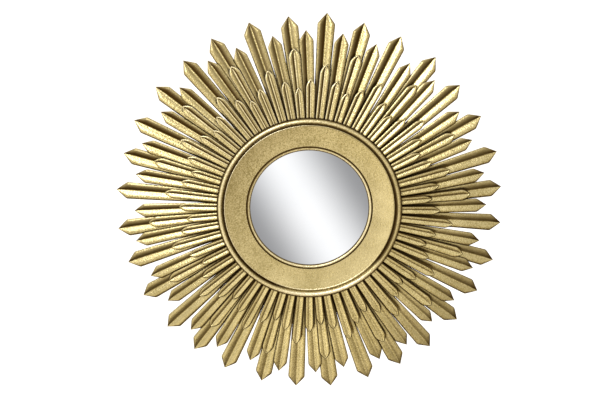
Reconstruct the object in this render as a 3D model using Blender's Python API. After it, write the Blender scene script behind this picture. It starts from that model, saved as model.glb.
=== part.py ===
# Sunburst wall mirror: a round glass in a dished ring, with layers of pointed
# rays set around it on a round backing board.
# Metres, +Z up. The front faces -Y, the wall is the plane Y = 0, and the
# origin is the middle of the board's flat back.

import math
from collections import namedtuple

import bmesh
import bpy

for old_object in list(bpy.data.objects):
    bpy.data.objects.remove(old_object, do_unlink=True)

# Gaps between neighbouring pieces
SEAT_GAP = 0.0003
GLASS_PLAY = 0.0008
HANGER_PLAY = 0.0030

# The pattern: sixteen equal modules of four places each, counted clockwise
# from just past the top
MODULE_COUNT = 16
PLACES_PER_MODULE = 4
FIRST_PLACE_DEG = 4.8

# Centre of the mirror to the point of each kind of ray
LONG_TIP = 0.3000
MEDIUM_TIP = 0.2740
TALL_FRONT_TIP = 0.2243
FRONT_TIP = 0.2026
SHORT_FRONT_TIP = 0.1910

# How far a middle ray reaches past the tall front ray before it
MIDDLE_OVERREACH = 0.0262

# Width across the shoulders, just below the point
LONG_WIDTH = 0.0270
MEDIUM_WIDTH = 0.0222
MIDDLE_WIDTH = 0.0176
TALL_FRONT_WIDTH = 0.0142
FRONT_WIDTH = 0.0136
SHORT_FRONT_WIDTH = 0.0124

# Width where a ray comes out from under the ring
LONG_RING_WIDTH = 0.0190
MEDIUM_RING_WIDTH = 0.0164
MIDDLE_RING_WIDTH = 0.0116
FRONT_RING_WIDTH = 0.0116

# Length of the point, from the shoulders to the tip
LONG_POINT = 0.0160
MEDIUM_POINT = 0.0150
MIDDLE_POINT = 0.0140
FRONT_POINT = 0.0135

# Degrees that a ray's tip and its place at the ring lie clockwise of the
# regular spacing
LEAN_DEG = 1.3
MEDIUM_SHIFT_DEG = 0.53
MIDDLE_TIP_TURN_DEG = 0.95
MIDDLE_RING_TURN_DEG = 1.35
FRONT_TURN_DEG = 1.4

# Hand-set irregularity of the tips and the places
TIP_SCATTER_DEG = 0.50
TIP_SCATTER = 0.0030
FRONT_SCATTER_DEG = 0.10
FRONT_SCATTER = 0.0012
DRIFT_DEG = 0.35

# The irregularity is a slow and a fast wave over the places. The drift is
# three waves that fit once, twice and three times round the mirror.
SLOW_RATE = 2.1
FAST_RATE = 5.3
FAST_SHARE = 0.4
FAST_PHASE_RATE = 2.7
REACH_PHASE = 0.4
ANGLE_PHASE = 1.9
SECOND_DRIFT_SHARE = 0.8
THIRD_DRIFT_SHARE = 0.4

# Cross section of a ray: two lobes that meet in a valley along its middle
RAY_THICKNESS = 0.0020
VALLEY_SLOPE = 0.30
BACK_SLOPE = 0.24
CREST_SHARE = 0.78
EDGE_FALL_SHARE = 0.20
ARCH_POWER = 1.8
ARCH_STATION = 0.55

# Free height from one layer of rays to the next
LAYER_RISE = 0.0035
FRONT_RISE = 0.0035

# Backing board
BOARD_RADIUS = 0.1400
BOARD_THICKNESS = 0.0100

# Glass
GLASS_RADIUS = 0.1050
GLASS_THICKNESS = 0.0030
GLASS_BELOW_FRONT_RAYS = 0.0065

# Dished ring, from its inner edge to its rim
RING_INNER = 0.0917
BEAD_WIDTH = 0.0065
BEAD_HEIGHT = 0.0029
BEAD_CROWN_WIDTH = 0.0026
BEAD_LIP_HEIGHT = 0.0010
DISH_INNER_HEIGHT = 0.0022
DISH_OUTER = 0.1318
DISH_RISE = 0.0036
GROOVE_WIDTH = 0.0022
GROOVE_SLOPE_SHARE = 0.7
GROOVE_DEPTH = 0.0006
RIM_RADIUS = 0.00475
RIM_STEPS = 4
SKIRT_OUTER = 0.1215

# Plain rings under the rim that tie a layer's rays together
TIE_WIDTH = 0.0080
TIE_THICKNESS = 0.0015
FRONT_TIE_WIDTH = 0.0050
TIE_COVER = 0.00015
TIE_INSET = 0.0010

# Sawtooth hanger in a shallow pocket in the back
HANGER_HEIGHT = 0.0750
HANGER_LENGTH = 0.0500
HANGER_DEPTH = 0.0090
HANGER_SHEET = 0.0010
HANGER_RISE = 0.0012
HANGER_TAB = 0.0080
TOOTH_COUNT = 7
TOOTH_DEPTH = 0.0022
TOOTH_FLAT_SHARE = 0.2
POCKET_DEPTH = 0.0038

# Sides of the round pieces
ROUND_STEPS = 48

# Places and levels worked out from the sizes above. A level is a distance
# from the wall.
place_count = MODULE_COUNT * PLACES_PER_MODULE
pitch_deg = 360.0 / place_count
rim_outer = DISH_OUTER + GROOVE_WIDTH + 2 * RIM_RADIUS
rim_middle = rim_outer - RIM_RADIUS
long_level = BOARD_THICKNESS + SEAT_GAP
medium_level = long_level + LAYER_RISE
middle_level = medium_level + LAYER_RISE
front_level = middle_level + FRONT_RISE
middle_tip = TALL_FRONT_TIP + MIDDLE_OVERREACH
ray_root = SKIRT_OUTER + SEAT_GAP


def crest_level(level, ring_width):
    """Height of a ray's crests where it comes out from under the ring."""
    return level + RAY_THICKNESS + CREST_SHARE * ring_width / 2 * VALLEY_SLOPE


front_crest = crest_level(front_level, FRONT_RING_WIDTH)
middle_crest = crest_level(middle_level, MIDDLE_RING_WIDTH)
long_crest = crest_level(long_level, LONG_RING_WIDTH)
glass_front = front_crest - GLASS_BELOW_FRONT_RAYS
glass_back = glass_front - GLASS_THICKNESS
boss_front = glass_back - SEAT_GAP
rebate_level = glass_front + SEAT_GAP
rim_level = front_crest + SEAT_GAP
front_root = rim_middle - RIM_RADIUS / 2

Ray = namedtuple(
    "Ray", "tip width root ring_width point arched tip_turn ring_turn level scatter scatter_deg"
)
rear = {
    "arched": False,
    "tip_turn": 0.0,
    "ring_turn": LEAN_DEG,
    "scatter": TIP_SCATTER,
    "scatter_deg": TIP_SCATTER_DEG,
}
front = {
    "root": front_root,
    "ring_width": FRONT_RING_WIDTH,
    "point": FRONT_POINT,
    "arched": True,
    "tip_turn": FRONT_TURN_DEG,
    "ring_turn": FRONT_TURN_DEG,
    "level": front_level,
    "scatter": FRONT_SCATTER,
    "scatter_deg": FRONT_SCATTER_DEG,
}
long_ray = Ray(
    tip=LONG_TIP, width=LONG_WIDTH, ring_width=LONG_RING_WIDTH, point=LONG_POINT,
    root=ray_root, level=long_level, **rear
)
medium_ray = Ray(
    tip=MEDIUM_TIP, width=MEDIUM_WIDTH, ring_width=MEDIUM_RING_WIDTH, point=MEDIUM_POINT,
    root=ray_root + 2 * TIE_INSET, level=medium_level, **rear
)
middle_ray = Ray(
    tip=middle_tip, width=MIDDLE_WIDTH, ring_width=MIDDLE_RING_WIDTH, point=MIDDLE_POINT,
    root=ray_root, arched=True, tip_turn=MIDDLE_TIP_TURN_DEG, ring_turn=MIDDLE_RING_TURN_DEG,
    level=middle_level, scatter=FRONT_SCATTER, scatter_deg=FRONT_SCATTER_DEG
)
tall_front_ray = Ray(tip=TALL_FRONT_TIP, width=TALL_FRONT_WIDTH, **front)
front_ray = Ray(tip=FRONT_TIP, width=FRONT_WIDTH, **front)
short_front_ray = Ray(tip=SHORT_FRONT_TIP, width=SHORT_FRONT_WIDTH, **front)


def paint(name, color, roughness, metallic):
    """A Principled material of one colour."""
    material = bpy.data.materials.new(name)
    material.use_nodes = True
    shader = material.node_tree.nodes["Principled BSDF"]
    shader.inputs["Base Color"].default_value = (*color, 1.0)
    shader.inputs["Roughness"].default_value = roughness
    shader.inputs["Metallic"].default_value = metallic
    material.diffuse_color = (*color, 1.0)
    return material


gold_paint = paint("gold_paint", (0.60, 0.47, 0.22), 0.42, 0.85)
ring_paint = paint("ring_paint", (0.56, 0.43, 0.19), 0.38, 0.85)
mirror_silver = paint("mirror_silver", (0.90, 0.91, 0.92), 0.02, 1.0)
board_black = paint("board_black", (0.05, 0.045, 0.04), 0.80, 0.0)
hanger_steel = paint("hanger_steel", (0.62, 0.62, 0.60), 0.35, 1.0)


def add_object(name, mesh_data, material):
    """Turn a bmesh into a named object with its faces pointing out."""
    bmesh.ops.recalc_face_normals(mesh_data, faces=mesh_data.faces)
    mesh = bpy.data.meshes.new(name)
    mesh_data.to_mesh(mesh)
    mesh_data.free()
    mesh.materials.append(material)
    node = bpy.data.objects.new(name, mesh)
    bpy.context.scene.collection.objects.link(node)
    return node


def hide_tool(tool):
    """Mark an object that only cuts or joins another."""
    tool.hide_render = True
    tool.display_type = "WIRE"


def combine(node, tool, operation):
    """Join a tool to an object, or cut it away, and hide the tool."""
    modifier = node.modifiers.new(operation.lower(), "BOOLEAN")
    modifier.operation = operation
    modifier.solver = "EXACT"
    modifier.object = tool
    hide_tool(tool)


def turned(name, profile, steps, material):
    """A body turned about the Y axis from a closed profile of (radius, level)."""
    body = bmesh.new()
    rings = []
    for step in range(steps):
        angle = 2 * math.pi * step / steps
        rings.append([
            body.verts.new((radius * math.sin(angle), -level, radius * math.cos(angle)))
            for radius, level in profile
        ])
    for step in range(steps):
        here, there = rings[step], rings[(step + 1) % steps]
        for point in range(len(profile)):
            after = (point + 1) % len(profile)
            body.faces.new((here[point], here[after], there[after], there[point]))
    return add_object(name, body, material)


def disc(name, profile, steps, material):
    """A solid round plate from the outer profile of (radius, level), back to front."""
    body = bmesh.new()
    rings = []
    for radius, level in profile:
        rings.append([
            body.verts.new((
                radius * math.sin(2 * math.pi * step / steps),
                -level,
                radius * math.cos(2 * math.pi * step / steps),
            ))
            for step in range(steps)
        ])
    for low, high in zip(rings, rings[1:]):
        for step in range(steps):
            after = (step + 1) % steps
            body.faces.new((low[step], low[after], high[after], high[step]))
    body.faces.new(rings[0])
    body.faces.new(rings[-1])
    return add_object(name, body, material)


def box(name, corner, opposite, material):
    """An upright box between two opposite corners."""
    body = bmesh.new()
    bmesh.ops.create_cube(body, size=1.0)
    for vert in body.verts:
        for axis in range(3):
            share = vert.co[axis] + 0.5
            vert.co[axis] = corner[axis] + share * (opposite[axis] - corner[axis])
    return add_object(name, body, material)


def unevenness(place, phase):
    """A fixed irregular number from -1 to 1 for each place, as in hand-set work."""
    slow = math.sin(SLOW_RATE * place + phase)
    fast = math.sin(FAST_RATE * place + FAST_PHASE_RATE * phase)
    return (1 - FAST_SHARE) * slow + FAST_SHARE * fast


def drift_deg(place):
    """The slow drift of the tips round the mirror, in degrees."""
    turn = 2 * math.pi * place / place_count
    second = SECOND_DRIFT_SHARE * math.cos(2 * turn)
    third = THIRD_DRIFT_SHARE * math.sin(3 * turn)
    return DRIFT_DEG * (math.cos(turn) - second + third)


def section(half_width):
    """Points (sideways, height) round a ray: back, then front from right to left."""
    crest = CREST_SHARE * half_width
    rise = crest * VALLEY_SLOPE
    edge = RAY_THICKNESS + rise * (1 - EDGE_FALL_SHARE)
    back = half_width * BACK_SLOPE
    return [
        (-half_width, back),
        (0.0, 0.0),
        (half_width, back),
        (half_width, edge),
        (crest, RAY_THICKNESS + rise),
        (0.0, RAY_THICKNESS),
        (-crest, RAY_THICKNESS + rise),
        (-half_width, edge),
    ]


def stations(ray, tip):
    """Pairs (distance from the centre, half width) from root to the last one below the tip."""
    shoulder = tip - ray.point
    growth = (ray.width - ray.ring_width) / (ray.tip - ray.point - rim_outer)
    half_at_root = (ray.ring_width + growth * (ray.root - rim_outer)) / 2
    half_at_shoulder = ray.width / 2
    pairs = [(ray.root, half_at_root), (shoulder, half_at_shoulder)]
    if ray.arched:
        share = 1 - ARCH_STATION ** ARCH_POWER
        pairs.append((shoulder + ARCH_STATION * ray.point, half_at_shoulder * share))
    return pairs


def add_ray(body, ray, place, extra_turn=0.0):
    """Add one closed ray to a bmesh, on a straight axis from its place at the ring to its tip."""
    tip = ray.tip + ray.scatter * unevenness(place, REACH_PHASE + ray.tip)
    regular = FIRST_PLACE_DEG + pitch_deg * place + extra_turn
    scatter = ray.scatter_deg * unevenness(place, ANGLE_PHASE + ray.tip)
    tip_angle = math.radians(regular + ray.tip_turn + drift_deg(place) + scatter)
    ring_angle = math.radians(regular + ray.ring_turn + drift_deg(place))
    tip_x, tip_z = tip * math.sin(tip_angle), tip * math.cos(tip_angle)
    ring_x, ring_z = rim_outer * math.sin(ring_angle), rim_outer * math.cos(ring_angle)
    heading = math.atan2(tip_x - ring_x, tip_z - ring_z)
    along_x, along_z = math.sin(heading), math.cos(heading)
    side = ring_x * along_z - ring_z * along_x
    length = tip_x * along_x + tip_z * along_z

    def corner(along, sideways, height):
        x = along * along_x + (side + sideways) * along_z
        z = along * along_z - (side + sideways) * along_x
        return body.verts.new((x, -(ray.level + height), z))

    loops = [
        [corner(along, sideways, height) for sideways, height in section(half_width)]
        for along, half_width in stations(ray, length)
    ]
    body.faces.new(loops[0])
    for here, there in zip(loops, loops[1:]):
        for point in range(8):
            after = (point + 1) % 8
            body.faces.new((here[point], here[after], there[after], there[point]))
    tip_back = corner(length, 0.0, 0.0)
    tip_front = corner(length, 0.0, RAY_THICKNESS)
    last = loops[-1]
    body.faces.new((last[0], last[1], tip_back))
    body.faces.new((last[1], last[2], tip_back))
    body.faces.new((last[2], last[3], tip_front, tip_back))
    for point in range(3, 7):
        body.faces.new((last[point], last[point + 1], tip_front))
    body.faces.new((last[7], last[0], tip_back, tip_front))


def single_rays(label, ray, places):
    """One object for each ray of a kind."""
    for number, place in enumerate(places, start=1):
        body = bmesh.new()
        add_ray(body, ray, place)
        add_object(f"{label}_{number:02d}", body, gold_paint)


def tie_profile(inner, width, level, thickness):
    """Square profile of a plain ring that ties rays together."""
    return [
        (inner, level),
        (inner + width, level),
        (inner + width, level + thickness),
        (inner, level + thickness),
    ]


def medium_layer(places):
    """The medium rays on their tie ring, drawn in towards the long ray between them."""
    tie = tie_profile(ray_root + TIE_INSET, TIE_WIDTH, long_crest + SEAT_GAP, TIE_THICKNESS)
    layer = turned("medium_rays", tie, ROUND_STEPS, gold_paint)
    rays = bmesh.new()
    for place in places:
        towards_long = MEDIUM_SHIFT_DEG if place % PLACES_PER_MODULE == 1 else -MEDIUM_SHIFT_DEG
        add_ray(rays, medium_ray, place, towards_long)
    combine(layer, add_object("medium_ray_bodies", rays, gold_paint), "UNION")


def front_layer():
    """The front rays on their tie ring: tall, common, short, common in each module."""
    tie_level = middle_crest + SEAT_GAP
    tie_height = front_crest + TIE_COVER - tie_level
    tie = tie_profile(front_root - TIE_INSET, FRONT_TIE_WIDTH, tie_level, tie_height)
    layer = turned("front_rays", tie, ROUND_STEPS, gold_paint)
    kinds = (tall_front_ray, front_ray, short_front_ray, front_ray)
    rays = bmesh.new()
    for place in range(place_count):
        add_ray(rays, kinds[place % PLACES_PER_MODULE], place)
    combine(layer, add_object("front_ray_bodies", rays, gold_paint), "UNION")


def dished_ring():
    """The turned ring: bead, sloping dish, groove, round rim, and a skirt round the glass."""
    dish_level = rebate_level + DISH_INNER_HEIGHT
    groove_level = dish_level + DISH_RISE - GROOVE_DEPTH
    bead_middle = RING_INNER + BEAD_WIDTH / 2
    bead_top = rebate_level + BEAD_HEIGHT
    profile = [
        (RING_INNER, rebate_level),
        (RING_INNER, rebate_level + BEAD_LIP_HEIGHT),
        (bead_middle - BEAD_CROWN_WIDTH / 2, bead_top),
        (bead_middle + BEAD_CROWN_WIDTH / 2, bead_top),
        (RING_INNER + BEAD_WIDTH, dish_level),
        (DISH_OUTER, dish_level + DISH_RISE),
        (DISH_OUTER + GROOVE_SLOPE_SHARE * GROOVE_WIDTH, groove_level),
    ]
    for step in range(RIM_STEPS + 1):
        angle = math.pi * (1 - step / RIM_STEPS)
        profile.append((rim_middle + RIM_RADIUS * math.cos(angle), rim_level + RIM_RADIUS * math.sin(angle)))
    recess = front_root - TIE_INSET - SEAT_GAP
    under_ledge = middle_crest + SEAT_GAP
    rebate_radius = GLASS_RADIUS + GLASS_PLAY
    profile += [
        (recess, rim_level),
        (recess, under_ledge),
        (SKIRT_OUTER, under_ledge),
        (SKIRT_OUTER, long_level),
        (rebate_radius, long_level),
        (rebate_radius, rebate_level),
    ]
    turned("dished_ring", profile, ROUND_STEPS, ring_paint)


def backing_board():
    """The round board with a raised boss behind the glass and a pocket for the hanger."""
    boss_radius = GLASS_RADIUS - GLASS_PLAY
    profile = [
        (BOARD_RADIUS, 0.0),
        (BOARD_RADIUS, BOARD_THICKNESS),
        (boss_radius, BOARD_THICKNESS),
        (boss_radius, boss_front),
    ]
    board = disc("backing_board", profile, ROUND_STEPS, board_black)
    half_length = HANGER_LENGTH / 2 + HANGER_PLAY
    half_depth = HANGER_DEPTH / 2 + HANGER_PLAY
    pocket = box(
        "pocket_cutter",
        (-half_length, -POCKET_DEPTH, HANGER_HEIGHT - half_depth),
        (half_length, BOARD_THICKNESS, HANGER_HEIGHT + half_depth),
        board_black,
    )
    combine(board, pocket, "DIFFERENCE")


def sawtooth_hanger():
    """A bridge-shaped steel strip with teeth along the lower edge of its raised middle."""
    floor = -(POCKET_DEPTH - SEAT_GAP)
    half = HANGER_LENGTH / 2
    middle = half - HANGER_TAB
    raised = floor + HANGER_RISE
    path = [(-half, floor), (-middle, floor), (-middle + HANGER_RISE, raised)]
    path += [(-x, y) for x, y in reversed(path)]
    outline = path + [(x, y + HANGER_SHEET) for x, y in reversed(path)]
    strip = bmesh.new()
    low = HANGER_HEIGHT - HANGER_DEPTH / 2
    lower = [strip.verts.new((x, y, low)) for x, y in outline]
    upper = [strip.verts.new((x, y, low + HANGER_DEPTH)) for x, y in outline]
    count = len(outline)
    for point in range(count):
        after = (point + 1) % count
        strip.faces.new((lower[point], lower[after], upper[after], upper[point]))
    strip.faces.new(lower)
    strip.faces.new(upper)
    hanger = add_object("sawtooth_hanger", strip, hanger_steel)
    teeth = bmesh.new()
    run = 2 * (middle - HANGER_RISE - HANGER_SHEET)
    step = run / TOOTH_COUNT
    half_notch = step * (1 - TOOTH_FLAT_SHARE) / 2
    for tooth in range(TOOTH_COUNT):
        notch = (tooth + 1 / 2) * step - run / 2
        corners = [
            (notch - half_notch, low - TOOTH_DEPTH),
            (notch + half_notch, low - TOOTH_DEPTH),
            (notch, low + TOOTH_DEPTH),
        ]
        near = [teeth.verts.new((x, floor - HANGER_SHEET, z)) for x, z in corners]
        far = [teeth.verts.new((x, BOARD_THICKNESS, z)) for x, z in corners]
        teeth.faces.new(near)
        teeth.faces.new(far)
        for point in range(3):
            after = (point + 1) % 3
            teeth.faces.new((near[point], near[after], far[after], far[point]))
    combine(hanger, add_object("tooth_cutter", teeth, hanger_steel), "DIFFERENCE")


disc(
    "mirror_glass",
    [(GLASS_RADIUS, glass_back), (GLASS_RADIUS, glass_front)],
    ROUND_STEPS,
    mirror_silver,
)
dished_ring()
backing_board()
sawtooth_hanger()
single_rays("long_ray", long_ray, range(0, place_count, 2))
medium_layer(range(1, place_count, 2))
single_rays("middle_ray", middle_ray, range(2, place_count, PLACES_PER_MODULE))
front_layer()
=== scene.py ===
import math

import bmesh
import bpy
import numpy as np
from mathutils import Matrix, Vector


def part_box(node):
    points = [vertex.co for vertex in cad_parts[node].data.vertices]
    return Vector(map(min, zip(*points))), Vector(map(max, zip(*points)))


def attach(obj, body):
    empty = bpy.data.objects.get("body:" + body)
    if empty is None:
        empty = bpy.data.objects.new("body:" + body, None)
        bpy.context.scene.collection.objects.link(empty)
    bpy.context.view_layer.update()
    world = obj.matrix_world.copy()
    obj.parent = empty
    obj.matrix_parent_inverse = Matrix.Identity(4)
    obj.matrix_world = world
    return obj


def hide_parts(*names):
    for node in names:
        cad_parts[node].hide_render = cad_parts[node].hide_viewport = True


# Sunburst wall mirror: gold rays in layers round a dished ring and a round glass.
# Metres, +Z up, the front faces -Y and the wall is the plane Y = 0.

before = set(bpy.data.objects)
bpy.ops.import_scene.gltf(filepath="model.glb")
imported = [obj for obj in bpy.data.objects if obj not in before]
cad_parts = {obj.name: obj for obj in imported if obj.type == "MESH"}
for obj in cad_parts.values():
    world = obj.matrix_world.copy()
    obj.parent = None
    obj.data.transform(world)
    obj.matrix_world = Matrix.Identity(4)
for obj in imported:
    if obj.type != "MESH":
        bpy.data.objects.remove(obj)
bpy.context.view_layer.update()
scene = bpy.context.scene
scene.view_settings.view_transform = "Standard"
glassFront = -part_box("mirror_glass")[0][1]  # distance of the glass's face from the wall
print("frame loaded:", len(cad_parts), "nodes")


class Wire:
    # a socket that can be used in a sum: each sign adds one Math node
    def __init__(self, sheet, socket):
        self.sheet = sheet
        self.socket = socket

    def maths(self, operation, *values):
        return self.sheet.node("ShaderNodeMath", {"operation": operation}, dict(enumerate(values)))

    def __add__(self, other):
        return self.maths("ADD", self, other)

    def __sub__(self, other):
        return self.maths("SUBTRACT", self, other)

    def __rsub__(self, other):
        return self.maths("SUBTRACT", other, self)

    def __mul__(self, other):
        return self.maths("MULTIPLY", self, other)

    def __truediv__(self, other):
        return self.maths("DIVIDE", self, other)

    def __pow__(self, other):
        return self.maths("POWER", self, other)

    def __abs__(self):
        return self.maths("ABSOLUTE", self)

    def atLeast(self, other):
        return self.maths("MAXIMUM", self, other)

    def between(self, low, high):
        # 0 below low, 1 above high and a smooth step from one to the other
        return self.sheet.node(
            "ShaderNodeMapRange", {"interpolation_type": "SMOOTHSTEP"},
            {"Value": self, "From Min": low, "From Max": high},
        )

    __radd__ = __add__
    __rmul__ = __mul__


class Sheet:
    # the node tree of one material or of the world
    def __init__(self, owner):
        owner.use_nodes = True
        self.tree = owner.node_tree

    def node(self, kind, settings=None, values=None, output=0):
        added = self.tree.nodes.new(kind)
        for name, value in (settings or {}).items():
            setattr(added, name, value)
        for name, value in (values or {}).items():
            self.feed(added.inputs[name], value)
        return Wire(self, added.outputs[output])

    def feed(self, socket, value):
        if isinstance(value, Wire):
            self.tree.links.new(value.socket, socket)
        else:
            socket.default_value = value

    def blend(self, share, first, second):
        return self.node(
            "ShaderNodeMix", {"data_type": "RGBA"}, {"Factor": share, 6: first, 7: second}, output=2
        )

    def dot(self, vector, direction):
        return self.node(
            "ShaderNodeVectorMath", {"operation": "DOT_PRODUCT"}, {0: vector, 1: direction}, output=1
        )


def tint(red, green, blue):
    return (red, green, blue, 1.0)


cameraPlan = {
    "elevation": 15.05,    # degrees above the glass's axis
    "distance": 2.0,       # from the middle of the glass
    "filmWidth": 36.0,     # millimetres
    "focalPixels": 1288.0,
    "framePixels": 600.0,
    "slideAcross": -9.4,   # pixels
    "slideUp": 8.1,
}


def addCamera(plan):
    tilt = math.radians(plan["elevation"])
    data = bpy.data.cameras.new("photoCamera")
    data.sensor_width = plan["filmWidth"]
    data.lens = plan["focalPixels"] / plan["framePixels"] * plan["filmWidth"]
    data.shift_x = plan["slideAcross"] / plan["framePixels"]
    data.shift_y = plan["slideUp"] / plan["framePixels"]
    camera = bpy.data.objects.new("photoCamera", data)
    camera.location = (
        0.0,
        -glassFront - plan["distance"] * math.cos(tilt),
        plan["distance"] * math.sin(tilt),
    )
    camera.rotation_euler = (math.pi / 2 - tilt, 0.0, 0.0)
    scene.collection.objects.link(camera)
    scene.camera = camera


addCamera(cameraPlan)
print("camera placed")


studio = {
    # broad soft lights of the room: direction, strength, narrowness, colour
    "glows": (
        ((-0.40, -0.80, 0.45), 0.45, 4.0, (0.98, 0.99, 1.0)),
        ((-0.90, -0.40, 0.10), 0.70, 6.0, (1.0, 1.0, 0.98)),
        ((0.0, -0.15, 1.0), 0.90, 5.0, (1.0, 1.0, 1.0)),
        ((0.37, -0.87, 0.28), 0.78, 9.0, (1.0, 1.0, 0.94)),
        ((-0.40, -0.84, -0.37), 1.30, 12.0, (1.0, 0.95, 0.80)),
        ((0.50, -0.82, -0.20), 0.45, 9.0, (1.0, 0.93, 0.72)),
    ),
    "warmDark": (0.13, 0.084, 0.034),      # what the unlit side of the room gives
    "white": tint(1.0, 1.0, 1.0),
    "bandView": (0.0, -0.966, -0.26),      # where the glass looks, seen from the camera
    "bandCone": (0.9945, 0.9975),          # cosines where that view starts and where it is full
    "bandAcross": (0.845, 0.0, 0.534),     # across the pale band that the glass shows
    "bandHalf": 0.046,                     # half of the glass's width, as a direction
    "bandFade": (0.0, 0.98),               # of that half, from white to grey
    "bandWhite": tint(1.07, 1.07, 1.07),
    "bandGrey": tint(0.345, 0.345, 0.350),
    # soft lamps near the mirror: place, aim, width, height, power, colour
    "lamps": (
        ((-0.35, -0.95, 0.45), (0.0, 0.0, 0.0), 0.36, 0.36, 3.3, (0.95, 0.97, 1.0)),
        ((0.0, -1.20, -0.80), (0.0, 0.0, -0.25), 2.00, 0.40, 1.0, (1.0, 0.90, 0.70)),
    ),
    "floorDrop": 0.62,
    "floorReach": 40.0,
    "floorPaint": tint(0.9, 0.9, 0.9),
    "floorGlow": 0.9,
}


def addWorld(plan):
    # each glow adds its strength times (cosine to its direction) ^ narrowness to the dark
    world = bpy.data.worlds.new("studio")
    scene.world = world
    sheet = Sheet(world)
    sheet.tree.nodes.clear()
    direction = sheet.node("ShaderNodeTexCoord")
    light = plan["warmDark"]
    for towards, strength, narrowness, color in plan["glows"]:
        unit = tuple(value / math.hypot(*towards) for value in towards)
        lit = sheet.dot(direction, unit).atLeast(0.0) ** narrowness * strength
        glow = sheet.node("ShaderNodeVectorMath", {"operation": "SCALE"}, {0: color, "Scale": lit})
        light = sheet.node("ShaderNodeVectorMath", {"operation": "ADD"}, {0: light, 1: glow})
    # the pale band turns grey at both sides of a diagonal through the middle of the view
    middle = plan["bandView"][2] * plan["bandAcross"][2]
    side = abs((sheet.dot(direction, plan["bandAcross"]) - middle) / plan["bandHalf"])
    band = sheet.blend(side.between(*plan["bandFade"]), plan["bandWhite"], plan["bandGrey"])
    inView = sheet.dot(direction, plan["bandView"]).between(*plan["bandCone"])
    seen = sheet.blend(inView, light, band)
    cameraRay = sheet.node("ShaderNodeLightPath")
    shown = sheet.blend(cameraRay, seen, plan["white"])
    background = sheet.node("ShaderNodeBackground", None, {"Color": shown})
    sheet.feed(sheet.tree.nodes.new("ShaderNodeOutputWorld").inputs["Surface"], background)


def addLamps(plan):
    for number, (place, aim, width, height, power, color) in enumerate(plan["lamps"], start=1):
        data = bpy.data.lights.new(f"lamp{number}", "AREA")
        data.shape = "RECTANGLE"
        data.size = width
        data.size_y = height
        data.energy = power
        data.color = color
        lamp = bpy.data.objects.new(f"lamp{number}", data)
        lamp.location = place
        lamp.rotation_euler = (Vector(aim) - Vector(place)).to_track_quat("-Z", "Y").to_euler()
        lamp.visible_camera = False
        scene.collection.objects.link(lamp)


def addFloor(plan):
    reach = plan["floorReach"]
    level = -plan["floorDrop"]
    mesh = bpy.data.meshes.new("floor")
    corners = [(-reach, -reach), (reach, -reach), (reach, reach), (-reach, reach)]
    mesh.from_pydata([(x, y, level) for x, y in corners], [], [(0, 1, 2, 3)])
    material = bpy.data.materials.new("paleFloor")
    shader = Sheet(material).tree.nodes["Principled BSDF"]
    shader.inputs["Base Color"].default_value = plan["floorPaint"]
    shader.inputs["Emission Color"].default_value = plan["white"]
    shader.inputs["Emission Strength"].default_value = plan["floorGlow"]
    mesh.materials.append(material)
    floor = bpy.data.objects.new("floor", mesh)
    floor.visible_glossy = False
    floor.visible_diffuse = False
    scene.collection.objects.link(floor)


addWorld(studio)
addLamps(studio)
addFloor(studio)
print("studio lit")


goldFinish = {
    "pale": tint(0.82, 0.70, 0.365),
    "deep": tint(0.49, 0.40, 0.16),
    # what the painted shade and the patina turn the gold to
    "brown": tint(0.085, 0.046, 0.008),
    # the colour of the painted highlights
    "paintedHighlight": tint(0.98, 0.88, 0.60),
    "roughness": 0.25,
    "grainRoughening": 0.25,
    "patinaRoughening": 0.25,
    # painted shade in the crevices, from an ambient-occlusion node
    "creviceShadeReach": 0.0038,
    "creviceShadeSamples": 8,
    "creviceShadeRange": (0.10, 0.48),    # shaded share where the painted shade starts and where it is full
    "creviceShadeShare": 1.0,
    "noiseDetail": 2.0,
    "cloudScale": 28.0,
    "cloudShare": 1.2,
    "grainScale": 500.0,
    "grainFineness": 0.7,
    "grainAxis": (-0.7, 0.0, 0.7),   # towards the mirror's upper left
    "grainBothEnds": True,           # strong at the lower right as well as at the upper left
    "grainRange": (0.02, 0.16),      # on that axis, from the weak grain to the strong one
    "grainBase": 1.6,
    "grainContrast": 3.0,
    "grainInPatina": 0.5,
    "speckScale": 420.0,
    "speckShare": 0.5,
    "grainHeight": 0.0006,
    "bumpStrength": 0.5,
    "coat": 0.45,
    "coatLoss": 0.9,                 # of the coat, under full patina and painted shade
    "coatRoughness": 0.25,
    "coatIndex": 1.7,
}
ringFinish = dict(
    goldFinish, pale=tint(0.84, 0.715, 0.385), deep=tint(0.46, 0.375, 0.15), roughness=0.30,
    creviceShadeShare=0.5, grainBase=1.2, grainContrast=3.5, grainBothEnds=False,
    grainRange=(-0.12, 0.12), bumpStrength=0.6,
)


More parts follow.
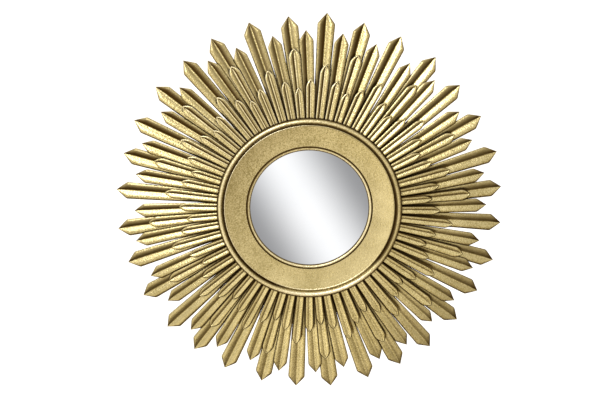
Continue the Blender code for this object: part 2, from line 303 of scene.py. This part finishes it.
def goldMaterial(name, plan):
    # gold clouded from deep to pale by two noises, whose fine one is strong at one end or both
    # of the grain's axis; the painted-light marks give a painted highlight below 0 and painted shade
    # and patina (brown) above 0, and crevices get painted shade too
    material = bpy.data.materials.new(name)
    sheet = Sheet(material)
    shader = sheet.tree.nodes["Principled BSDF"]
    place = sheet.node("ShaderNodeTexCoord", output=3)
    grain = sheet.node("ShaderNodeTexNoise", None, {
        "Vector": place, "Scale": plan["grainScale"],
        "Detail": plan["noiseDetail"], "Roughness": plan["grainFineness"],
    })
    speck = sheet.node("ShaderNodeTexVoronoi", None, {"Vector": place, "Scale": plan["speckScale"]})
    cloud = sheet.node("ShaderNodeTexNoise", None, {
        "Vector": place, "Scale": plan["cloudScale"], "Detail": plan["noiseDetail"],
    })
    mark = sheet.node("ShaderNodeAttribute", {"attribute_name": "paintedLightAndPatina"}, output=2)
    unshaded = sheet.node(
        "ShaderNodeAmbientOcclusion", {"samples": plan["creviceShadeSamples"]},
        {"Distance": plan["creviceShadeReach"]}, output=1,
    )
    diagonal = sheet.dot(place, plan["grainAxis"])
    if plan["grainBothEnds"]:
        diagonal = abs(diagonal)
    spread = plan["grainBase"] + diagonal.between(*plan["grainRange"]) * plan["grainContrast"]
    tone = 0.5 + (cloud - 0.5) * plan["cloudShare"] + (grain - 0.5) * spread
    gold = sheet.blend(tone, plan["deep"], plan["pale"])
    # painted highlight from the marks below 0; painted shade and patina from the marks above 0 and
    # from the crevices
    paintedHighlight = (0 - mark).between(0.0, 1.0)
    gold = sheet.blend(paintedHighlight, gold, plan["paintedHighlight"])
    # painted shade where the ambient occlusion finds a crevice
    creviceShade = (1 - unshaded).between(*plan["creviceShadeRange"]) * plan["creviceShadeShare"]
    paintedLightMarks = mark.atLeast(creviceShade - paintedHighlight)
    shadeAndPatina = (paintedLightMarks + (grain - 0.5) * plan["grainInPatina"] * paintedLightMarks).between(0.0, 1.0)
    sheet.feed(shader.inputs["Base Color"], sheet.blend(shadeAndPatina, gold, plan["brown"]))
    grained = plan["roughness"] + (grain - 0.5) * plan["grainRoughening"]
    sheet.feed(shader.inputs["Roughness"], grained + shadeAndPatina * plan["patinaRoughening"])
    bump = sheet.node("ShaderNodeBump", None, {
        "Height": grain + speck * plan["speckShare"],
        "Distance": plan["grainHeight"], "Strength": plan["bumpStrength"],
    })
    sheet.feed(shader.inputs["Normal"], bump)
    shader.inputs["Metallic"].default_value = 1.0
    lost = shadeAndPatina * (plan["coat"] * plan["coatLoss"])
    sheet.feed(shader.inputs["Coat Weight"], plan["coat"] - lost)
    shader.inputs["Coat Roughness"].default_value = plan["coatRoughness"]
    shader.inputs["Coat IOR"].default_value = plan["coatIndex"]
    return material


goldRays = goldMaterial("goldRays", goldFinish)
goldRing = goldMaterial("goldRing", ringFinish)


silverGlass = {
    "dark": tint(0.92, 0.93, 0.945),
    "pale": tint(0.95, 0.955, 0.965),
    "stretch": (9.0, 9.0, 9.0),
    "roughness": 0.012,
    "roughnessGain": 0.012,
    "metallic": 1.0,
    "grainHeight": 0.0,
}
stainedBoard = {
    "dark": tint(0.022, 0.016, 0.012),
    "pale": tint(0.060, 0.045, 0.033),
    "stretch": (14.0, 160.0, 210.0),       # the wood's grain runs across
    "roughness": 0.60,
    "roughnessGain": 0.22,
    "metallic": 0.0,
    "grainHeight": 0.0004,
}
brushedSteel = {
    "dark": tint(0.46, 0.46, 0.45),
    "pale": tint(0.68, 0.68, 0.66),
    "stretch": (60.0, 900.0, 1500.0),      # brushed along its length
    "roughness": 0.26,
    "roughnessGain": 0.20,
    "metallic": 1.0,
    "grainHeight": 0.0001,
}
streaks = {"scale": 1.0, "detail": 4.0, "range": (0.3, 0.7)}


def streakedMaterial(name, plan):
    # colour and roughness follow a noise that is drawn out along the grain
    material = bpy.data.materials.new(name)
    sheet = Sheet(material)
    shader = sheet.tree.nodes["Principled BSDF"]
    place = sheet.node("ShaderNodeTexCoord", output=3)
    drawn = sheet.node(
        "ShaderNodeVectorMath", {"operation": "MULTIPLY"}, {0: place, 1: plan["stretch"]}
    )
    streak = sheet.node("ShaderNodeTexNoise", None, {
        "Vector": drawn, "Scale": streaks["scale"], "Detail": streaks["detail"],
    })
    share = streak.between(*streaks["range"])
    sheet.feed(shader.inputs["Base Color"], sheet.blend(share, plan["dark"], plan["pale"]))
    sheet.feed(shader.inputs["Roughness"], plan["roughness"] + share * plan["roughnessGain"])
    shader.inputs["Metallic"].default_value = plan["metallic"]
    if plan["grainHeight"]:
        bump = sheet.node(
            "ShaderNodeBump", None, {"Height": streak, "Distance": plan["grainHeight"]}
        )
        sheet.feed(shader.inputs["Normal"], bump)
    return material


silver = streakedMaterial("mirrorSilver", silverGlass)
boardStain = streakedMaterial("boardStain", stainedBoard)
steel = streakedMaterial("hangerSteel", brushedSteel)
print("materials made")


pattern = {
    "placeCount": 64,
    "firstDeg": 4.8,
    "mediumShiftDeg": 0.53,   # of a medium ray, away from the middle blade beside it
    "driftDeg": 0.35,
    "driftTwice": 0.8,        # share of the wave that comes twice a turn
    "driftThrice": 0.4,
    "waves": ((0.6, 2.1, 1.0), (0.4, 5.3, 2.7)),    # share, step for a place, step for a phase
    "lengthPhase": 0.4,
    "turnPhase": 1.9,
    "ringEdge": 0.1435,       # where a ray comes out from under the ring
    "thickness": 0.0020,
    "valleySlope": 0.30,
    "backSlope": 0.24,
    "crest": 0.32,            # of the way from the outline to the valley
    "edgeFall": 0.62,         # of the crest's height, lost at the outline
    "edgeCurve": 1.9,
    "valleyRound": 0.09,
    "lobeRound": 0.85,
    "shaftRows": 6,
    "archRows": 13,
    "archCurve": (1.8, 0.82),
    "pointRows": 11,
    "pointCrowding": 1.3,
    "shoulderRows": (0.003, 0.0015, 0.0007),        # before a straight point's shoulder
    "shoulderRound": 0.0012,
    "setbackCurve": 1.6,
    "archFullness": 0.62,     # least share of the widest reach that sets an arch's height
    # columns of a half, from the outline to the valley
    "inward": (0, 0.025, 0.07, 0.14, 0.23, 0.32, 0.45, 0.59, 0.70, 0.80, 0.88, 0.94, 0.975, 1.0),
}
rearRay = {
    "arched": False, "shadeEnd": 0.205, "setback": 0.0010,
    "tipTurn": 0.0, "ringTurn": 1.3, "scatter": 0.0030, "scatterDeg": 0.50,
}
frontRay = {
    "arched": True, "shadeEnd": 0.0, "setback": 0.0036,
    "tipTurn": 1.4, "ringTurn": 1.4, "scatter": 0.0012, "scatterDeg": 0.10,
    "ringWidth": 0.0116, "point": 0.0135, "root": 0.136375, "level": 0.0208,
}
rayKinds = {
    "long": dict(
        rearRay, tip=0.3000, width=0.0270, ringWidth=0.0190, point=0.0160, root=0.1218,
        level=0.0103,
    ),
    "medium": dict(
        rearRay, tip=0.2740, width=0.0222, ringWidth=0.0164, point=0.0150, root=0.1238,
        level=0.0138,
    ),
    "middle": dict(
        frontRay, shadeEnd=0.195, tip=0.2505, width=0.0176, point=0.0140, root=0.1218,
        level=0.0173, tipTurn=0.95, ringTurn=1.35,
    ),
    "tall": dict(frontRay, tip=0.2243, width=0.0142),
    "common": dict(frontRay, tip=0.2026, width=0.0136),
    "short": dict(frontRay, tip=0.1910, width=0.0124),
}


def unevenness(place, phase):
    # two waves that never fall in step with the places
    return sum(
        share * math.sin(step * place + shift * phase) for share, step, shift in pattern["waves"]
    )


def driftDeg(place):
    # a slow swing round the mirror: cosines of the turn and of twice it, a sine of three times it
    turn = 2 * math.pi * place / pattern["placeCount"]
    twice = pattern["driftTwice"] * math.cos(2 * turn)
    thrice = pattern["driftThrice"] * math.sin(3 * turn)
    return pattern["driftDeg"] * (math.cos(turn) - twice + thrice)


def rayAxis(kind, place, extraTurn):
    # the straight line from a ray's place at the ring to its tip: heading, offset and length
    tip = kind["tip"] + kind["scatter"] * unevenness(place, pattern["lengthPhase"] + kind["tip"])
    regular = pattern["firstDeg"] + 360.0 / pattern["placeCount"] * place + extraTurn
    swing = kind["scatterDeg"] * unevenness(place, pattern["turnPhase"] + kind["tip"])
    tipAngle = math.radians(regular + (kind["tipTurn"] + driftDeg(place) + swing))
    ringAngle = math.radians(regular + kind["ringTurn"] + driftDeg(place))
    tipX, tipZ = tip * math.sin(tipAngle), tip * math.cos(tipAngle)
    edge = pattern["ringEdge"]
    ringX, ringZ = edge * math.sin(ringAngle), edge * math.cos(ringAngle)
    heading = math.atan2(tipX - ringX, tipZ - ringZ)
    side = ringX * math.cos(heading) - ringZ * math.sin(heading)
    length = tipX * math.sin(heading) + tipZ * math.cos(heading)
    return heading, side, length


def outline(kind, length):
    # distance along the ray, half width and the share x of the way past the shoulder: straight
    # sides, then a rounded shoulder and a straight point, or an arch whose half width is
    # (1 - x^1.8)^0.82 of the shoulder's
    shoulder = length - kind["point"]
    shaft = np.linspace(kind["root"], shoulder, pattern["shaftRows"])[:-1]
    if kind["arched"]:
        share = np.sin(np.linspace(0.0, 1.0, pattern["archRows"]) * math.pi / 2)
    else:
        shaft = np.append(shaft, shoulder - np.array(pattern["shoulderRows"]))
        share = np.linspace(0.0, 1.0, pattern["pointRows"]) ** pattern["pointCrowding"]
    taper = kind["tip"] - kind["point"] - pattern["ringEdge"]
    growth = (kind["width"] - kind["ringWidth"]) / taper
    along = np.concatenate([shaft, shoulder + share * kind["point"]])
    shaftHalf = (kind["ringWidth"] + growth * (along - pattern["ringEdge"])) / 2
    past = np.clip((along - shoulder) / kind["point"], 0.0, 1.0)
    if kind["arched"]:
        rise, fullness = pattern["archCurve"]
        half = np.minimum(shaftHalf, kind["width"] / 2) * (1 - past ** rise) ** fullness
    else:
        pointHalf = (length - along) / kind["point"] * kind["width"] / 2
        gap = shaftHalf - pointHalf
        half = (shaftHalf + pointHalf - np.sqrt(gap ** 2 + pattern["shoulderRound"] ** 2)) / 2
        half[-1] = 0.0
    return along, np.maximum(half, 0.0), past


def lobe(inward):
    # height of a half's surface, as a share of its crest's, over the way inward from the outline
    # (0) to the valley (1): it falls off towards the edge, and down a rounded slope to the valley
    crest = pattern["crest"]
    fallen = np.clip((crest - inward) / crest, 0, 1) ** pattern["edgeCurve"]
    outer = 1 - pattern["edgeFall"] * fallen
    rest = np.clip((1 - inward) / (1 - crest), 0, 1)
    soft = pattern["valleyRound"]
    slope = (np.sqrt(rest ** 2 + soft ** 2) - soft) / (math.sqrt(1 + soft ** 2) - soft)
    rounded = np.sin(slope * math.pi / 2)
    inner = slope + pattern["lobeRound"] * (rounded - slope)
    return np.where(inward < crest, outer, inner)


paintedLightPlan = {
    # painted light on a half's columns, from the outline to the valley: painted shade above 0,
    # painted highlight below 0
    "straight": (
        -0.6, -0.5, -0.1, 0.35, 0.55, 0.65, 0.75, 0.85, 0.95, 1.05, 1.05, 0.4, -0.5, -0.8,
    ),
    "arched": (0.0, 0.0, 0.0, 0.1, 0.4, 0.6, 0.5, 0.8, 1.1, 1.2, 0.6, -0.3, -0.9, -0.9),
    "shadedSide": (0.33, -0.94),   # a half that faces this way, in X and Z, gets the most painted shade
    "halfBase": 0.60,
    "halfGain": 0.75,
    "paintedLightMostDeg": -30.0,        # heading of the rays with the strongest painted shade and highlight
    "rayBase": 0.24,
    "rayGain": 0.92,
    "rayCurve": 1.4,
    # the outline's painted highlight at the upper left and painted shade elsewhere
    "edgeBase": 0.6,
    "edgeGain": 1.6,
    "edgeColumns": 4,
    "lineWidth": 0.0011,         # of the line along an arch's outline
    "lineStart": 1.45,
    "pointShade": 0.85,           # painted shade at a straight point's tip
    "pointCurve": 1.3,
    "pointPlainColumns": 2,      # at the outline
    "outerShadeStart": 0.18,
    "outerShadeRamp": 0.08,
    "outerShadeLeast": 0.28,          # painted shade on the outer part of a straight ray, but not at the top
    "outerShadeTopFade": 1.6,
    "outerShadeAdded": 0.35,          # more painted shade there, at the lower right
    "outerShadeMostDeg": 115.0,
    "shadeDark": 0.95,           # where the layers in front cover the ray
    "shadeRamp": 0.055,
    "shadeCurve": 0.8,
}


def rayPaintedLight(kind, heading, along, past, reach):
    # painted light: the marks of a half's columns times the half's and the ray's amounts: painted
    # shade beside the valley and a painted highlight along it, more shade on a half that faces down
    # and on rays near the most painted heading; the outline gets a painted highlight at the upper
    # left and painted shade elsewhere, as a line of even width on an arch; a straight ray gets a
    # shaded point and a shaded outer part; the back gets full painted shade, and so does the part
    # the layers in front cover
    inward = np.array(pattern["inward"])
    marks = np.array(paintedLightPlan["arched" if kind["arched"] else "straight"])
    awayX, awayZ = paintedLightPlan["shadedSide"]
    turned = awayZ * math.sin(heading) - awayX * math.cos(heading)
    facing = awayX * math.sin(heading) + awayZ * math.cos(heading)
    edge = np.clip(paintedLightPlan["edgeBase"] + paintedLightPlan["edgeGain"] * facing, -1.0, 1.0)
    near = (1 + math.cos(heading - math.radians(paintedLightPlan["paintedLightMostDeg"]))) / 2
    amount = paintedLightPlan["rayBase"] + paintedLightPlan["rayGain"] * near ** paintedLightPlan["rayCurve"]
    right, left = [
        np.clip(paintedLightPlan["halfBase"] + paintedLightPlan["halfGain"] * share, 0, 1)
        for share in (turned, -turned)
    ]
    dark, paintedHighlight = marks.clip(min=0), marks.clip(max=0)
    paintedHighlight[:paintedLightPlan["edgeColumns"]] *= -edge / amount
    # the back columns get full painted shade
    backRow = np.ones(3)
    markRow = np.concatenate([
        dark * right + paintedHighlight, dark[-2::-1] * left + paintedHighlight[-2::-1], backRow,
    ])
    paintedLightAndPatina = np.tile(markRow * amount, (len(along), 1))
    if kind["arched"]:
        inside = reach[:, None] * inward / paintedLightPlan["lineWidth"]
        line = np.clip(paintedLightPlan["lineStart"] - inside, 0, 1)
        line = np.column_stack([line, line[:, -2::-1], np.zeros((len(along), len(backRow)))])
        # the line along an arch's outline takes the edge's painted highlight at the upper left and
        # painted shade elsewhere
        paintedLightAndPatina = paintedLightAndPatina * (1 - line) + line * edge
    else:
        plain = np.zeros(paintedLightPlan["pointPlainColumns"])
        inner = np.ones(len(marks) - len(plain))
        pointRow = np.concatenate([plain, inner * right, inner[1:] * left, plain, backRow])
        # painted shade at the point, heavier on the half that faces down
        point = paintedLightPlan["pointShade"] * past[:, None] ** paintedLightPlan["pointCurve"] * pointRow
        paintedLightAndPatina = paintedLightAndPatina * (1 - point) + point
        # painted shade on the outer part of the ray, more of it at the lower right
        ramp = np.clip((along[:, None] - paintedLightPlan["outerShadeStart"]) / paintedLightPlan["outerShadeRamp"], 0, 1)
        fade = np.clip(1 - paintedLightPlan["outerShadeTopFade"] * math.cos(heading), 0, 1)
        least = paintedLightPlan["outerShadeLeast"] * fade
        added = max(math.cos(heading - math.radians(paintedLightPlan["outerShadeMostDeg"])), 0.0) ** 2
        paintedLightAndPatina = np.maximum(paintedLightAndPatina + paintedLightPlan["outerShadeAdded"] * added * ramp, least * ramp)
    covered = np.clip((kind["shadeEnd"] - along[:, None]) / paintedLightPlan["shadeRamp"], 0, 1)
    shade = paintedLightPlan["shadeDark"] * covered ** paintedLightPlan["shadeCurve"]
    return paintedLightAndPatina * (1 - shade) + shade


def rayPoints(kind, place, extraTurn):
    # rows from root to tip, columns round the section: right outline, valley, left outline, back;
    # a half rises by the lobe's curve, and past the shoulder its inner columns are set back
    heading, side, length = rayAxis(kind, place, extraTurn)
    along, half, past = outline(kind, length)
    inward = np.array(pattern["inward"])
    setback = kind["setback"] * past ** pattern["setbackCurve"]
    reach = np.hypot(setback, half)
    full = np.maximum(reach, half.max() * pattern["archFullness"]) if kind["arched"] else reach
    rise = (1 - pattern["crest"]) * pattern["valleySlope"] * full
    rows = along[:, None] - setback[:, None] * inward
    across = half[:, None] * (1 - inward)
    height = pattern["thickness"] + rise[:, None] * lobe(inward)
    back = half * pattern["backSlope"]
    right = side + np.column_stack([across, -across[:, -2::-1], -half, 0 * half, half])
    ahead = np.column_stack([rows, rows[:, -2::-1], along, along, along])
    level = kind["level"] + np.column_stack([height, height[:, -2::-1], back, 0 * half, back])
    points = np.stack([
        ahead * math.sin(heading) + right * math.cos(heading),
        -level,
        ahead * math.cos(heading) - right * math.sin(heading),
    ], axis=-1)
    return points, rayPaintedLight(kind, heading, along, past, reach)


def closedGrid(rowCount, columnCount, wrapRows=False):
    # four-sided faces of a grid whose columns close on themselves
    rowEnd = rowCount if wrapRows else rowCount - 1
    row, column = np.meshgrid(np.arange(rowEnd), np.arange(columnCount), indexing="ij")
    after = (column + 1) % columnCount
    below = (row + 1) % rowCount
    faces = np.stack([
        row * columnCount + column, row * columnCount + after,
        below * columnCount + after, below * columnCount + column,
    ], axis=-1)
    return faces.reshape(-1, 4)


meshFinish = {"mergeWithin": 1e-6, "sharpDeg": 40.0}


def finishPiece(name, points, faces, paintedLightAndPatina, material, nodes):
    mesh = bpy.data.meshes.new(name)
    mesh.from_pydata(points, [], faces)
    mesh.attributes.new("paintedLightAndPatina", "FLOAT", "POINT").data.foreach_set("value", paintedLightAndPatina)
    shape = bmesh.new()
    shape.from_mesh(mesh)
    bmesh.ops.remove_doubles(shape, verts=shape.verts, dist=meshFinish["mergeWithin"])
    bmesh.ops.recalc_face_normals(shape, faces=shape.faces)
    shape.to_mesh(mesh)
    shape.free()
    mesh.shade_smooth()
    mesh.set_sharp_from_angle(angle=math.radians(meshFinish["sharpDeg"]))
    mesh.materials.append(material)
    piece = bpy.data.objects.new(name, mesh)
    scene.collection.objects.link(piece)
    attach(piece, "root")
    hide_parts(*nodes)


def rayPiece(name, rays, node):
    # one piece of one or more rays, each given as (kind, place, extra turn)
    points, paintedLightAndPatina, faces, count = [], [], [], 0
    for kind, place, extraTurn in rays:
        grid, paintedLightMarks = rayPoints(rayKinds[kind], place, extraTurn)
        rowCount, columnCount = paintedLightMarks.shape
        points.append(grid.reshape(-1, 3))
        paintedLightAndPatina.append(paintedLightMarks.ravel())
        faces += (closedGrid(rowCount, columnCount) + count).tolist()
        faces.append(list(range(count, count + columnCount)))
        count += paintedLightMarks.size
    finishPiece(
        name, np.concatenate(points), faces, np.concatenate(paintedLightAndPatina), goldRays, [node],
    )


places = range(pattern["placeCount"])
for number, place in enumerate(places[::2], start=1):
    rayPiece(f"longRay{number:02d}", [("long", place, 0.0)], f"long_ray_{number:02d}")
mediumShift = pattern["mediumShiftDeg"]
rayPiece("mediumRays", [
    ("medium", place, mediumShift if place % 4 == 1 else -mediumShift) for place in places[1::2]
], "medium_rays")
for number, place in enumerate(places[2::4], start=1):
    rayPiece(f"middleRay{number:02d}", [("middle", place, 0.0)], f"middle_ray_{number:02d}")
frontKinds = ("tall", "common", "short", "common")
rayPiece("frontRays", [(frontKinds[place % 4], place, 0.0) for place in places], "front_rays")
print("rays made")


ringPlan = {
    "sides": 192,
    "ridgeRows": 25,          # over the bead and over the rim
    "inner": 0.0917,
    "beadWidth": 0.0065,
    "beadHeight": 0.0031,
    # across the bead, from its inner side (-1) to its outer one (1): stops, painted light and patina
    # (shade above 0, highlight below 0), lean, drop
    "beadMarks": (
        (-1.0, -0.85, -0.7, -0.5, -0.3, -0.15, 0.1, 0.35, 0.6),
        (0.9, 0.6, 0.35, -0.4, -0.85, -0.7, -0.25, 0.75, 1.0),
        (0.1, 0.3, 0.35, 0.2, 0.15, -0.4, -0.9, -0.2, 0.0),
        (0.0,) * 9,
    ),
    "glassGap": 0.0003,
    "lineDepth": 0.0007,      # of the fine line between the bead and the dish
    "lineMarks": (0.9, 0.0, 0.3),
    "dishRows": 12,
    "dishStart": 0.0004,      # out from that line
    "dishTrim": 0.0018,       # off the dish's width, at both ends together
    "dishOuter": 0.1318,
    "dishInnerHeight": 0.0022,
    "dishRise": 0.0036,
    "dishHollow": 0.18,       # of the rise
    "dishMarks": (0.03, -0.25, 0.0),
    # raised lip: out from the dish's edge, above the dish's end, painted light and patina, lean,
    # drop
    "lip": (
        (-0.0014, 0.0001, 0.0, 0.0, 0.0),
        (-0.0010, 0.0004, -0.2, 0.4, 0.8),
        (-0.0003, 0.0006, -0.2, 0.5, 1.1),
        (0.0004, 0.0003, -0.2, 0.6, 1.1),
        (0.0007, -0.0002, 0.0, 0.8, 0.9),
    ),
    "grooveStart": 0.0010,    # out from the dish's edge
    "grooveWidth": 0.0022,
    "grooveCorner": 0.0002,   # in from the groove's end
    "grooveDepth": 0.0012,
    "grooveDrops": (0.7, 0.8),
    "rimRadius": 0.00475,
    "rimLevel": 0.024455,     # of the middle of the rim's round section
    "rimMarks": (
        (-1.0, -0.6, -0.45, -0.25, -0.1, 0.3, 0.5, 0.7, 0.85),
        (1.0, 0.45, 0.2, -0.1, -0.4, -0.4, 0.1, 0.5, 1.0),
        (0.0, 0.35, 0.5, 0.6, 0.2, 0.2, -0.3, -0.3, 0.0),
        (0.9, 1.3, 1.3, 1.2, 0.6, 0.6, 0.3, 0.0, 0.0),
    ),
    "underOuter": 0.1350,
    "underLevel": 0.02096,    # clear of the rays behind the rim
    "boardFront": 0.0103,
    "skirtOuter": 0.1215,
    "rebate": 0.1058,
    "leanDeg": 110.0,         # clockwise from the top, where the lean's painted shade is added in full
    "dropDeg": 165.0,         # the middle of the stretch that loses the drop
    "dropCosine": 0.77,       # to that middle, where the loss starts
    "dropRamp": 0.18,
}


def ridge(middle, halfWidth, level, height, marks, rowCount):
    # half an ellipse from the inner side over the top to the outer one: cosines of the angle
    # across, sines of it up, and the marks that stand at those cosines
    angle = np.linspace(math.pi, 0.0, rowCount)
    stops, *rows = marks
    return np.column_stack([
        middle + halfWidth * np.cos(angle),
        level + height * np.sin(angle),
        *[np.interp(np.cos(angle), stops, row) for row in rows],
    ])


def ringProfile(plan):
    # (radius, level, painted light and patina, lean, drop) from the inner edge out over the front
    # and
    # back behind: painted shade and patina above 0, painted highlight below 0; the lean is the
    # painted shade gained at the lower right and lost at the upper left, the drop is the painted
    # shade lost at the bottom
    floor = glassFront + plan["glassGap"]
    middle = plan["inner"] + plan["beadWidth"] / 2
    bead = ridge(
        middle, plan["beadWidth"] / 2, floor, plan["beadHeight"], plan["beadMarks"],
        plan["ridgeRows"],
    )
    lineRadius = plan["inner"] + plan["beadWidth"]
    dishLevel = floor + plan["dishInnerHeight"]
    lineLevel = dishLevel - plan["lineDepth"]
    bead = bead[bead[:, 1] > np.where(bead[:, 0] > middle, lineLevel, 0)]
    line = [[lineRadius, lineLevel, *plan["lineMarks"]]]
    share = np.linspace(0.0, 1.0, plan["dishRows"])
    dishWidth = plan["dishOuter"] - lineRadius - plan["dishTrim"]
    dish = np.column_stack([
        lineRadius + plan["dishStart"] + dishWidth * share,
        dishLevel + plan["dishRise"] * (share - plan["dishHollow"] * np.sin(share * math.pi)),
        np.tile(plan["dishMarks"], (plan["dishRows"], 1)),
    ])
    lipLevel = dishLevel + plan["dishRise"]
    lip = np.array(plan["lip"]) + [plan["dishOuter"], lipLevel, 0, 0, 0]
    grooveEnd = plan["dishOuter"] + plan["grooveWidth"]
    grooveLevel = lipLevel - plan["grooveDepth"]
    innerDrop, outerDrop = plan["grooveDrops"]
    groove = [
        [plan["dishOuter"] + plan["grooveStart"], grooveLevel, 1.0, 0.0, innerDrop],
        [grooveEnd - plan["grooveCorner"], grooveLevel, 1.0, 0.0, outerDrop],
    ]
    rim = ridge(
        grooveEnd + plan["rimRadius"], plan["rimRadius"], plan["rimLevel"], plan["rimRadius"],
        plan["rimMarks"], plan["ridgeRows"],
    )
    corners = [
        (plan["underOuter"], plan["rimLevel"]), (plan["underOuter"], plan["underLevel"]),
        (plan["skirtOuter"], plan["underLevel"]), (plan["skirtOuter"], plan["boardFront"]),
        (plan["rebate"], plan["boardFront"]), (plan["rebate"], floor), (plan["inner"], floor),
    ]
    # the back and the underside get full painted shade
    under = [[*corner, 1.0, 0.0, 0.0] for corner in corners]
    return np.concatenate([bead[1:], line, dish, lip, groove, rim, under])


def turnedGrid(profile, turn):
    # a closed profile of (radius, level) carried round the Y axis by the turns
    points = np.stack([
        profile[None, :, 0] * np.sin(turn),
        -profile[None, :, 1] + 0 * turn,
        profile[None, :, 0] * np.cos(turn),
    ], axis=-1)
    return points.reshape(-1, 3), closedGrid(len(turn), len(profile), wrapRows=True)


def addRing(plan):
    # painted light and patina plus the cosine-weighted lean, minus the drop over the stretch at the
    # bottom
    profile = ringProfile(plan)
    turn = np.arange(plan["sides"])[:, None] * 2 * math.pi / plan["sides"]
    points, faces = turnedGrid(profile, turn)
    lean = np.cos(turn - math.radians(plan["leanDeg"]))
    past = np.cos(turn - math.radians(plan["dropDeg"])) - plan["dropCosine"]
    bottom = np.clip(past / plan["dropRamp"], 0, 1)
    ringPaintedLight = np.clip(profile[:, 2] + lean * profile[:, 3] - bottom * profile[:, 4], -1, 1)
    finishPiece(
        "dishedRing", points, faces.tolist(), ringPaintedLight.ravel(), goldRing, ["dished_ring"],
    )


addRing(ringPlan)
print("ring made")

plainNodes = {"mirror_glass": silver, "backing_board": boardStain, "sawtooth_hanger": steel}
for node, material in plainNodes.items():
    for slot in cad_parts[node].material_slots:
        slot.material = material
